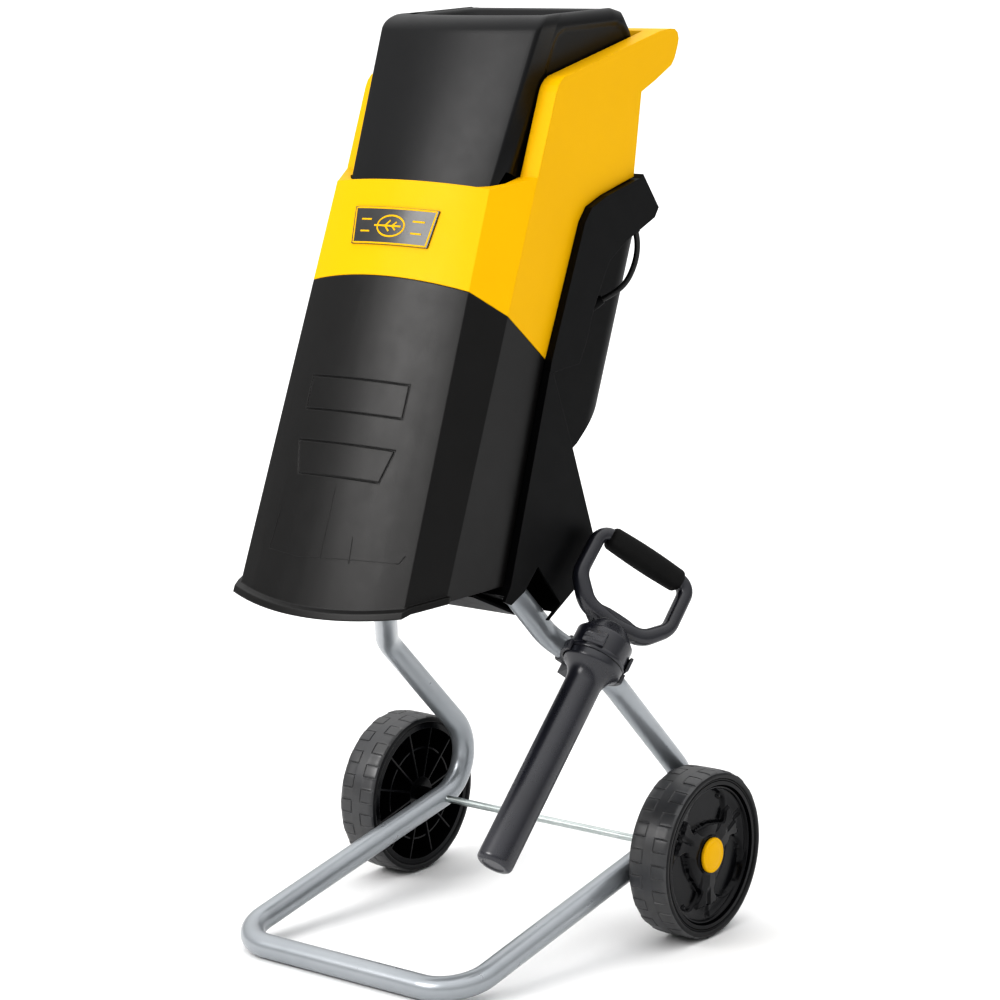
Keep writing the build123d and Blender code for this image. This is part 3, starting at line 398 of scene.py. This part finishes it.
def arc_between(a, b, c, radius, steps):
    """Points of the fillet at b between the legs from a and to c."""
    a, b, c = Vector(a), Vector(b), Vector(c)
    u, v = (a - b).normalized(), (c - b).normalized()
    half = u.angle(v) / 2
    reach = radius / tan(half)
    start, end = b + u * reach, b + v * reach
    centre = b + (u + v).normalized() * (radius / sin(half))
    a0 = atan2(start.y - centre.y, start.x - centre.x)
    turn = (atan2(end.y - centre.y, end.x - centre.x) - a0 + pi) % (2 * pi) - pi
    return [(centre.x + radius * cos(a0 + turn * k / steps), centre.y + radius * sin(a0 + turn * k / steps))
            for k in range(steps + 1)]


def rounded_loop(corners, steps):
    """Closed 2-D outline with each corner (x, y, radius) turned by an arc."""
    out = []
    for k, corner in enumerate(corners):
        before, after = corners[k - 1], corners[(k + 1) % len(corners)]
        out += arc_between(before[:2], corner[:2], after[:2], corner[2], steps)
    return out


def sweep_closed(path, section):
    """Sweep along a closed path; section(k) gives (in-plane, y) pairs round the cross-section."""
    up = Vector((0, 1, 0))
    n = len(path)
    rows = []
    for k in range(n):
        before, here, after = Vector(path[k - 1]), Vector(path[k]), Vector(path[(k + 1) % n])
        side = (after - before).normalized().cross(up).normalized()
        rows.append([tuple(here + side * a + up * b) for a, b in section(k)])
    points = [p for row in rows for p in row]
    return points, grid_faces(n, len(rows[0]), close_rows=True, close_columns=True)


def oval(a, b, count, power):
    """Superellipse outline, squarer as power grows."""
    ring = []
    for k in range(count):
        t = 2 * pi * k / count
        c, s = cos(t), sin(t)
        ring.append((a * abs(c) ** (2 / power) * (1 if c > 0 else -1),
                     b * abs(s) ** (2 / power) * (1 if s > 0 else -1)))
    return ring


# ------------------------------------------------------------------ wheels
TYRE_R, WIDE = 88.5, 48.0
BLOCKS = 20
PITCH = 2 * pi * TYRE_R / BLOCKS


def block_edge(s, depth_in):
    """Distance to a tread block's outline; s runs round the tyre, depth_in inwards from the shoulder."""
    half, reach = 6.9, 18.0
    du, dv = abs(s) - half, depth_in - reach
    if du > 0 and dv > 0:
        return sqrt(du * du + dv * dv), False
    return (abs(du) if dv < du or dv < -9 and du > -6 else abs(max(du, dv))), du < 0 and dv < 0


def tread_drop(x, s):
    """Depth below the crown at x across and s round the tyre: grooves between blocks, shoulders cut back."""
    drop = 0.0
    for shoulder, shift in ((WIDE - x, 0.0), (x, PITCH / 2)):
        if shoulder > 20:
            continue
        local = (s + shift + PITCH / 2) % PITCH - PITCH / 2
        gap, inside = block_edge(local, shoulder)
        drop = max(drop, 1.0 * (1 - smooth_step(gap, 0.30, 0.85)))
        if not inside:
            drop = max(drop, 0.25 * smooth_step(gap, 0.3, 1.2) * (1 - smooth_step(shoulder, 15, 19))
                       + 0.9 * (1 - smooth_step(shoulder, 1.5, 5.0)))
    return drop


def tyre_piece(side, place, body):
    near = [0, 3.4, 6.0, 6.4, 6.9, 7.4, 7.8, 10.5]
    offsets = sorted({round(v % PITCH, 3) for n in near for v in (n, -n, n + PITCH / 2, PITCH / 2 - n)})
    stations = [k * PITCH + v for k in range(BLOCKS) for v in offsets]
    cross = [(1.9, 80.3), (0.8, 80.9), (0.4, 81.8), (0.3, 83.6), (1.1, 85.9)]
    tread = [2.2, 3.2, 5, 8, 12, 15, 17.1, 17.6, 18, 18.4, 18.9, 20.5, 24]
    tread = tread + [WIDE - v for v in reversed(tread[:-1])]
    points = []
    for s in stations:
        a = s / TYRE_R
        row = [(r, x) for x, r in cross]
        for x in tread:
            crown = 1.9 * (abs(x - WIDE / 2) / (WIDE / 2)) ** 6
            row.append((TYRE_R - crown - tread_drop(x, s), x))
        row += [(r, WIDE - x) for x, r in reversed(cross)]
        points += [(r * cos(a), r * sin(a), x) for r, x in row]
    faces = grid_faces(len(stations), 2 * len(cross) + len(tread), close_rows=True)
    obj = piece(f"tyre_tread_{side}", points, faces, place, "tyre", body, sharp=50)
    obj.data.materials.append(M["tyre_tread"])
    # Faces beyond the sidewall take the lighter tread material, painted light on the lit tread.
    to_wheel = place.inverted()
    for face in obj.data.polygons:
        middle = to_wheel @ face.center
        face.material_index = int(middle.xy.length > 85.9)
    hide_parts(f"tyre_{side}")


def hub_level(r, a):
    """Height of the hub's outer face: rim lip, dish, three split blades and three pockets."""
    level = 37.6 + 4.4 * (1 - smooth_step(r, 20, 46)) + 2.4 * smooth_step(r, 56, 69)
    level = max(level, 43.6 * (1 - smooth_step(r, 20.5, 23.0)))
    turn = degrees(a) % 120
    blade = min(turn, 120 - turn)
    across, ahead = r * sin(radians(blade)), r * cos(radians(blade))
    if blade < 60:
        wide = 13.0 + 5.0 * smooth_step(ahead, 26, 54)
        top = 43.2 - 1.4 * smooth_step(ahead, 22, 50) - 0.10 * across
        top = top - 2.8 * smooth_step(ahead, 54.5, 55.5)
        level = level + (max(top, level) - level) * (1 - smooth_step(across, wide - 0.6, wide + 0.6))
        split = (1 - smooth_step(across, 0.5 + 0.03 * max(0, ahead - 36), 2.4 + 0.03 * ahead))
        level = level - 2.4 * split * smooth_step(ahead, 33, 46) * (1 - smooth_step(ahead, 66, 69))
    pocket = radians(60 - blade)
    u, v = r * sin(pocket), r * cos(pocket)
    bowl = sqrt((u / 33.0) ** 2 + ((v - 42.0) / 26.5) ** 2)
    wall = max(bowl - 1, (30.5 - v + 2.2 * cos(u / 12)) / 26)
    level = level - (level - 34.4) * (1 - smooth_step(wall, -0.05, 0.03))
    clip = max(abs(abs(u) - 25.0) - 2.2, 0) + max(abs(v - 56.5) - 2.0, 0)
    level = max(level, 36.6 * (1 - smooth_step(clip, 0.0, 0.4)))
    level = level + (43.6 - level) * smooth_step(r, 68.6, 70.2) - 2.2 * smooth_step(r, 71.8, 73.2)
    level = level + 4.6 * smooth_step(r, 74.2, 77.4)
    return level - 1.2 * smooth_step(r, 78.6, 79.9)


def hub_piece(side, place, body):
    radii = [18.8, 19.4, 20.2, 21, 21.8, 22.6, 23.6] + [24.8 + 1.2 * k for k in range(37)]
    radii += [68.6, 69.2, 69.8, 70.4, 71.2, 72, 72.8, 73.6, 74.4, 75.2, 76, 76.8, 77.6, 78.4, 79.2, 79.9]
    count = 420
    points = []
    for r in radii:
        for k in range(count):
            a = 2 * pi * k / count
            points.append((r * cos(a), r * sin(a), hub_level(r, a)))
    faces = grid_faces(len(radii), count, close_columns=True)
    piece(f"hub_face_{side}", points, faces, place, "hub_black", body, sharp=60, slot="black_moulded")


def cap_piece(side, place, body):
    profile = [(9.2, 43.9), (18.3, 43.9), (18.5, 44.4), (18.5, 46.4), (18.2, 47.1), (17.4, 47.6),
               (15.6, 47.75), (15.2, 47.45), (14.4, 47.4), (13.8, 47.7), (6, 47.95), (0, 48.0)]
    obj = piece(f"cap_{side}", *lathe(profile, 72), place, "yellow_moulded", body)
    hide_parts(f"hub_cap_{side}")


# ------------------------------------------------------------------ plunger
def plunger_pieces():
    shaft = [(0, 1.2), (11, 1.2), (12, 0.2), (15.2, 0.3), (17.2, 1.5), (18.2, 3.2), (18.5, 5.5), (18.5, 120),
             (18.5, 208.5), (18.8, 211.5), (19.7, 215), (21.2, 218.4), (23.4, 221.5), (26.2, 224.3),
             (28.2, 226.0), (29.4, 227.2), (29.9, 228.4), (30.1, 230.4), (30.2, 235.6), (29, 236)]
    obj = piece("plunger_tube", *lathe(shaft, 96), PLUNGER_MM, "plunger_black", "plunger", slot="black_moulded")
    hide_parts("plunger_shaft")
    collar = [(28, 236.2), (30.0, 236.2), (30.5, 236.8), (30.5, 240.4), (30.2, 240.9), (29.8, 241.2),
              (29.8, 260.6), (29.4, 262.2), (28.2, 263.4), (23, 269.4), (18.4, 275.0), (16, 277.6),
              (12, 279.6), (6, 280.5), (0, 280.7)]
    shapes = [lathe(collar, 96)]
    for angle in (-125, -5, 115):
        pad = moved(rounded_box(15, 23, 3.0, 1.0), Matrix.Rotation(radians(angle), 4, "Z")
                    @ Matrix.Translation((29.9, 0, 248)) @ Matrix.Rotation(pi / 2, 4, "Y"))
        shapes.append(pad)
    for angle, offsets in ((-125, (-3.2, 3.2)), (-5, (-3.2, 3.2)), (115, (0,))):
        for off in offsets:
            strip = moved(rounded_box(2.4, 19, 0.8, 0.4), Matrix.Rotation(radians(angle), 4, "Z")
                          @ Matrix.Translation((32.4, 0, 248 + off)) @ Matrix.Rotation(pi / 2, 4, "Y"))
            shapes.append(strip)
    centre = rounded_loop([(-54, 360.5, 13), (54, 360.5, 13), (54.5, 308, 22), (34, 284.5, 26), (0, 279.5, 30),
                           (-34, 284.5, 26), (-54.5, 308, 22)], 8)
    path = [(x, 0, z) for x, z in centre]

    def section(k):
        z = path[k][2]
        thick = 7.3 + 1.1 * smooth_step(318 - z, 0, 34)
        return oval(thick, 8.9, 24, 2.9)
    shapes.append(sweep_closed(path, section))
    gusset = []
    rows = [(-30, 278, 286), (-22, 272, 289.5), (-12, 269, 291), (0, 268, 291.3), (12, 269, 291),
            (22, 272, 289.5), (30, 278, 286)]
    for x, low, high in rows:
        for z, y in ((low, 0), (low, 6.4), (high, 6.4), (high, 0), (high, -6.4), (low, -6.4)):
            gusset.append((x, y, z))
    shapes.append((gusset, grid_faces(len(rows), 6, close_columns=True)))
    obj = piece("plunger_d_handle", *join(*shapes), HANDLE, "plunger_black", "plunger", sharp=45,
                slot="black_moulded")
    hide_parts("plunger_handle")
    grip_rows = []
    for k in range(41):
        u = k / 40
        x = -44 + 88 * u
        edge = min(u, 1 - u) * 88
        swell = (0.90 + 0.10 * sin(pi * u)) * (1 - 0.30 * (1 - smooth_step(edge, 0.0, 3.4)))
        grip_rows.append([(x, b * swell, 359.6 + a * swell) for a, b in oval(12.6, 14.6, 32, 2.2)])
    points = [p for row in grip_rows for p in row]
    faces = grid_faces(41, 32, close_columns=True)
    faces += [tuple(range(32)), tuple(range(40 * 32, 41 * 32))]
    obj = piece("plunger_soft_grip", points, faces, HANDLE, "soft_grip", "plunger", sharp=50)
    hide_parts("plunger_grip")


# ------------------------------------------------------------------ badge and mould lines
def front_point(x, z, proud):
    """Point on the convex front of the covers, body frame, mm."""
    half = 106.3 - 0.02 * (z + 530)
    bend = (half * half + 17 * 17) / 34
    return (x, -147 - proud + bend - sqrt(bend * bend - x * x), z)


def front_lines(name, lines, width, proud, base, key, body):
    """Thin raised lines that follow the front surface."""
    shapes = []
    for line in lines:
        fine = []
        for (x0, z0), (x1, z1) in zip(line, line[1:]):
            count = max(2, int(sqrt((x1 - x0) ** 2 + (z1 - z0) ** 2) / 3))
            fine += [(x0 + (x1 - x0) * k / count, z0 + (z1 - z0) * k / count) for k in range(count)]
        fine.append(line[-1])
        rows = []
        for k, (x, z) in enumerate(fine):
            a, b = fine[max(0, k - 1)], fine[min(len(fine) - 1, k + 1)]
            if line[0] == line[-1] and k in (0, len(fine) - 1):
                a, b = fine[-2], fine[1]
            d = Vector((b[0] - a[0], b[1] - a[1])).normalized()
            n = Vector((-d.y, d.x)) * width / 2
            rows.append([front_point(x + n.x * s, z + n.y * s, base + h)
                         for s, h in ((1, -0.05), (0.7, proud), (-0.7, proud), (-1, -0.05))])
        points = [p for row in rows for p in row]
        shapes.append((points, grid_faces(len(rows), 4)))
    return piece(name, *join(*shapes), BODY_MM, key, body, sharp=60)


def badge_pieces():
    """Plain border, leaf and bars on the blank plate."""
    frame_line = [(-51.0, -95.3), (51.0, -95.3), (45.9, -130.7), (-45.9, -130.7), (-51.0, -95.3)]
    leaf = [(-17 * cos(pi * k / 12), -113 + 10.5 * sin(pi * k / 12)) for k in range(13)]
    leaf += [(17 * cos(pi * k / 12), -113 - 10.5 * sin(pi * k / 12)) for k in range(13)]
    rib = [[(-21, -113), (13, -113)], [(-7, -113), (-1, -107.4)], [(-7, -113), (-1, -118.6)],
           [(2, -113), (7, -108.8)], [(2, -113), (7, -117.2)]]
    bars = [[(-40, -107), (-26, -107)], [(-38.5, -119), (-26, -119)], [(26, -107), (40, -107)],
            [(26, -119), (38.5, -119)]]
    front_lines("badge_trim", [frame_line, leaf] + rib + bars, 1.9, 0.3, 1.6, "yellow_moulded", "hopper_unit")


def mould_lines():
    """Faint parting lines low on the front cover."""
    lines = [[(-70, -442), (-23, -447), (90, -438), (95, -429)], [(-70, -442), (-66, -400)],
             [(3, -372), (3, -446)], [(38, -446), (36, -420)]]
    front_lines("mould_lines", lines, 0.9, 0.22, 0.0, "grey_front", "root")


# ------------------------------------------------------------------ hopper
HOPPER_FRONT = [k / 20 * 0.92 for k in range(21)]      # shares of the half width, from the middle outwards
MOUTH_Y, MOUTH_Z, MOUTH_LEAN = -52.5, 138.3, radians(23.2)
PANEL = [(-106, -70), (-82, 100), (-78, 110), (-68, 119), (-40, 131), (0, 148), (12, 152.5), (24, 151), (36, 140),
         (28, 60), (24, 22), (-30, -70)]


def mouth_height(y):
    """Top line of the hopper's wall in the side view: long slope, short crest, rear slope."""
    return min(94.3 + 0.428 * (y + 160), 164.5 + 0.147 * (y - 4), 167 - 0.643 * (y - 21))


def hopper_half(z, inset):
    """Right half of the hopper's outline at one height, from the middle of the front round to the rear."""
    t = (z + 90) / 280
    across = 0.62 * inset
    cx, cy = 85.6 + 22.8 * t - across, -120.9 + 11.9 * t + inset
    sx, sy = 98.5 - t - across, -116 + 44 * t + inset
    bulge = 14 - 2 * t
    rear = min(48.5, 36 + 13 * max(0.0, z - 60) / 89) - across
    circle = (cx * cx + bulge * bulge) / (2 * bulge)
    front = [(cx * u, cy - bulge + circle - sqrt(circle * circle - (cx * u) ** 2)) for u in HOPPER_FRONT]
    near = (cx * 0.93, cy - bulge + circle - sqrt(circle * circle - (cx * 0.93) ** 2))
    edge = arc_between(near, (cx, cy), (sx, sy), 3.0 + 2.5 * t, 6)
    fold = arc_between((cx, cy), (sx, sy), (sx, rear), 7.0, 6)
    back = arc_between((sx, fold[-1][1]), (sx, rear), (0, rear), max(4.0, 12.0 - across), 8)
    y0, y1 = fold[-1][1], back[0][1]
    side = [(sx, y0 + (y1 - y0) * k / 46) for k in range(1, 46)]
    return front + edge + fold + side + back + [(back[-1][0] * (1 - k / 6), rear) for k in range(1, 7)]


def inside_panel(y, z):
    """Signed distance inside the recessed side panel, mm."""
    best = 1e9
    for k in range(len(PANEL)):
        (y0, z0), (y1, z1) = PANEL[k], PANEL[(k + 1) % len(PANEL)]
        length = sqrt((y1 - y0) ** 2 + (z1 - z0) ** 2)
        best = min(best, ((y - y0) * (z1 - z0) - (z - z0) * (y1 - y0)) / length)
    return best


def mouth_ring(wide, deep, lift):
    """Rounded rectangle in the slanted mouth plane, point for point with the hopper's outline."""
    a, b, r = wide / 2, deep / 2, 13.0
    half = [(a * 0.8 * k / 20, -b) for k in range(21)]
    half += [(a - r + r * sin(pi / 2 * k / 13), -b + r - r * cos(pi / 2 * k / 13)) for k in range(14)]
    half += [(a, -b + r + (2 * b - 2 * r) * k / 46) for k in range(1, 46)]
    half += [(a - r + r * cos(pi / 2 * k / 8), b - r + r * sin(pi / 2 * k / 8)) for k in range(9)]
    half += [((a - r) * (1 - k / 6), b) for k in range(1, 7)]
    back, up = (cos(MOUTH_LEAN), sin(MOUTH_LEAN)), (-sin(MOUTH_LEAN), cos(MOUTH_LEAN))
    return [(x, MOUTH_Y + y * back[0] + lift * up[0], MOUTH_Z + y * back[1] + lift * up[1]) for x, y in half]


def mirrored(half):
    """Whole loop from its right half."""
    return half + [(-x, y, z) for x, y, z in reversed(half[1:-1])]


def hopper_piece():
    """Hopper skin with soft corners, recessed sides, rolled mouth and the funnel inside."""
    roll = 15.0
    drops = [0.0, 0.25, 0.7, 1.5, 2.7, 4.2, 6.0, 8.0, 10.4, 13.0, 15.0, 18.0]
    rows = []
    flat = hopper_half(60, 0)
    low = [-84 + 41 * smooth_step(y, -104, -94) + 63 * smooth_step(y, -40, -30) for x, y in flat]

    def wall_row(height_of, inset):
        heights = [height_of(k, p[1]) for k, p in enumerate(flat)]
        for turn in range(5):
            outline = [hopper_half(z, inset)[k] for k, z in enumerate(heights)] if turn else flat
            heights = [height_of(k, p[1]) for k, p in enumerate(outline)]
        row = []
        for (x, y), z in zip(outline, heights):
            x -= 1.5 * smooth_step(inside_panel(y, z), 0.0, 2.2) * (abs(x) > 90)
            row.append((x, y, z))
        return row
    for v in range(56):
        share = v / 55
        rows.append(wall_row(lambda k, y: low[k] + (mouth_height(y) - drops[-1] - low[k]) * share, 0.0))
    for drop in reversed(drops[:-1]):
        inset = roll - sqrt(max(0.0, roll * roll - (roll - min(drop, roll)) ** 2))
        rows.append(wall_row(lambda k, y: mouth_height(y) - drop, inset))
    rim = rows[-1]
    brim = mouth_ring(174, 112, 1.0)
    for k in range(1, 6):
        flat_row = [Vector(p).lerp(Vector(q), k / 6) for p, q in zip(rim, brim)]
        rows.append([(x, y, mouth_height(y) - 1.0 * (k / 6) ** 2) for x, y, z in flat_row])
    rows += [brim, mouth_ring(170, 108, 0.3), mouth_ring(166, 104, -1.0), mouth_ring(164, 102, -3.0)]
    throat = [(x * 0.46, -62 + (y + 62) * 0.40, 16.0) for x, y, z in mouth_ring(164, 102, 0)]
    top = rows[-1]
    for k in range(1, 13):
        rows.append([tuple(Vector(p).lerp(Vector(q), k / 12)) for p, q in zip(top, throat)])
    loops = [mirrored(row) for row in rows]
    points = [p for loop in loops for p in loop]
    obj = piece("hopper_skin", points, grid_faces(len(loops), len(loops[0]), close_columns=True), BODY_MM,
                "hopper_black", "hopper_unit", sharp=50, slot="grey_front")
    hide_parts("hopper")


# ------------------------------------------------------------------ cable and screws
LEAD = [(114, 93.979, -42.002), (114, 101.494, -50.034), (111, 109.5, -69), (106, 109, -92),
        (95.44, 102.68, -107.62), (86.948, 99.556, -113.879)]
LEAD_LENGTH, LEAD_D = 0.085, 0.006


def lead_piece():
    data = bpy.data.curves.new("motor_cable", "CURVE")
    data.dimensions = "3D"
    spline = data.splines.new("NURBS")
    spline.points.add(len(LEAD) - 1)
    places = [BODY_MM @ Vector(p) for p in LEAD]
    for point, place in zip(spline.points, places):
        point.co = (*place, 1)
    spline.order_u = 3
    spline.use_endpoint_u = True
    spline.resolution_u = 16
    data.bevel_depth = LEAD_D / 2
    data.bevel_resolution = 6
    obj = bpy.data.objects.new("motor_cable", data)
    scene.collection.objects.link(obj)
    obj.data.materials.append(M["cable"])
    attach(obj, "root")
    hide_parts("motor_lead")


def screw_head(radius):
    """Pan head with a cross recess, standing on z 0."""
    radii = [0, 0.35, 0.7, 1.0, 1.3, 1.6, 1.9, 2.2, 2.6, 3.0, 3.3, 3.5]
    points = []
    for r in radii:
        for k in range(32):
            a = 2 * pi * k / 32
            x, y = r * cos(a), r * sin(a)
            slot_gap = min(abs(x), abs(y))
            h = 2.0 * sqrt(max(0.0, 1 - (r / 3.5) ** 2.6))
            if r < 2.0 and slot_gap < 0.45:
                h -= 1.1
            points.append((x * radius / 3.5, y * radius / 3.5, h))
    return points, grid_faces(len(radii), 32, close_columns=True)


def turn_to(normal, place):
    """Frame at place with its z along normal."""
    return Matrix.Translation(place) @ Vector((0, 0, 1)).rotation_difference(Vector(normal)).to_matrix().to_4x4()


def cover_screws():
    """Pan heads on the motor cover (inner pair) and on the rear covers (outer pairs), body frame, mm."""
    inner, outer = 42.64, 109.2
    spots = []
    for side in (-1, 1):
        spots.append(((side * inner, 160, -78), (0, 1, 0)))
        spots.append(((side * inner, 160, -172), (0, 1, 0)))
        spots.append(((side * outer, 101.3, -392), (0, 0.981, -0.193)))
        spots.append(((side * outer, 60, -296.6), (0, 0.755, 0.656)))
        spots.append(((side * outer, 50.6, -73.7), (0, 0.683, -0.730)))
    shapes = [moved(screw_head(3.6), turn_to(normal, place)) for place, normal in spots]
    piece("cover_screws", *join(*shapes), BODY_MM, "zinc", "root", sharp=50)


# ------------------------------------------------------------------ build, in this order
EDGE_WIDTHS = (("front_cover", 0.0012), ("upper_cover", 0.0014), ("rear_housing", 0.0014),
               ("lower_rear_cover", 0.0014), ("motor_cover", 0.0014), ("rocker_frame", 0.0006),
               ("power_inlet", 0.0006), ("rocker_switch", 0.0006), ("badge_plate", 0.0004),
               ("plunger_holder", 0.0008), ("axle_spacers", 0.0005))

make_camera()
lead_piece()
make_stage()
make_lights()
dress_nodes()
for shell, edge_width in EDGE_WIDTHS:
    round_edges(shell, edge_width)
for side_name, side_place in (("right", WHEEL_RIGHT), ("left", WHEEL_LEFT)):
    wheel_body = "wheel_" + side_name
    tyre_piece(side_name, side_place, wheel_body)
    hub_piece(side_name, side_place, wheel_body)
    cap_piece(side_name, side_place, wheel_body)
plunger_pieces()
badge_pieces()
mould_lines()
hopper_piece()
cover_screws()
